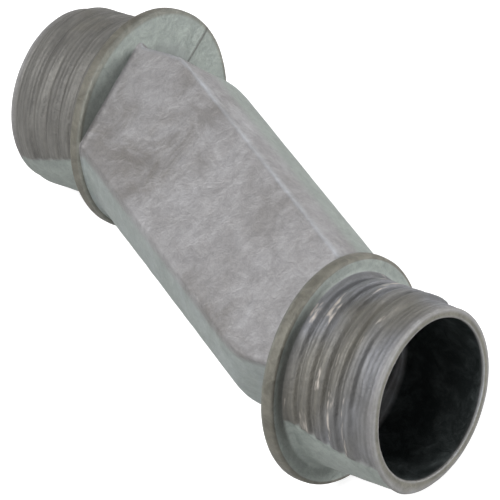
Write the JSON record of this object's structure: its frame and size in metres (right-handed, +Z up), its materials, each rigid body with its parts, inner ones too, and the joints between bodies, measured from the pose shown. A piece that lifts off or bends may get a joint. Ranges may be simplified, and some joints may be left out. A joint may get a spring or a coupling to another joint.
{
  "type": "conduit offset nipple",
  "caption": "Die-cast conduit offset nipple: two short threaded tubes on parallel offset axes, a collar at each root and an oblique flat-sided body with a passage through it.",
  "frame": {"origin": "centre of the bottom of the bounding box, on the surface that the casting lies on", "axes": "+Z up, the casting lying at rest on both collars and on the far thread; +X along the tubes as seen from above, towards the raised near mouth"},
  "size_m": [0.067, 0.0426, 0.0241],
  "materials": {
    "cast_zinc": "dull as-cast zinc alloy, mottled grey, with dark threads and a burnished mouth"
  },
  "bodies": {
    "root": {"nipple_casting": "cast_zinc"}
  },
  "joints": []
}
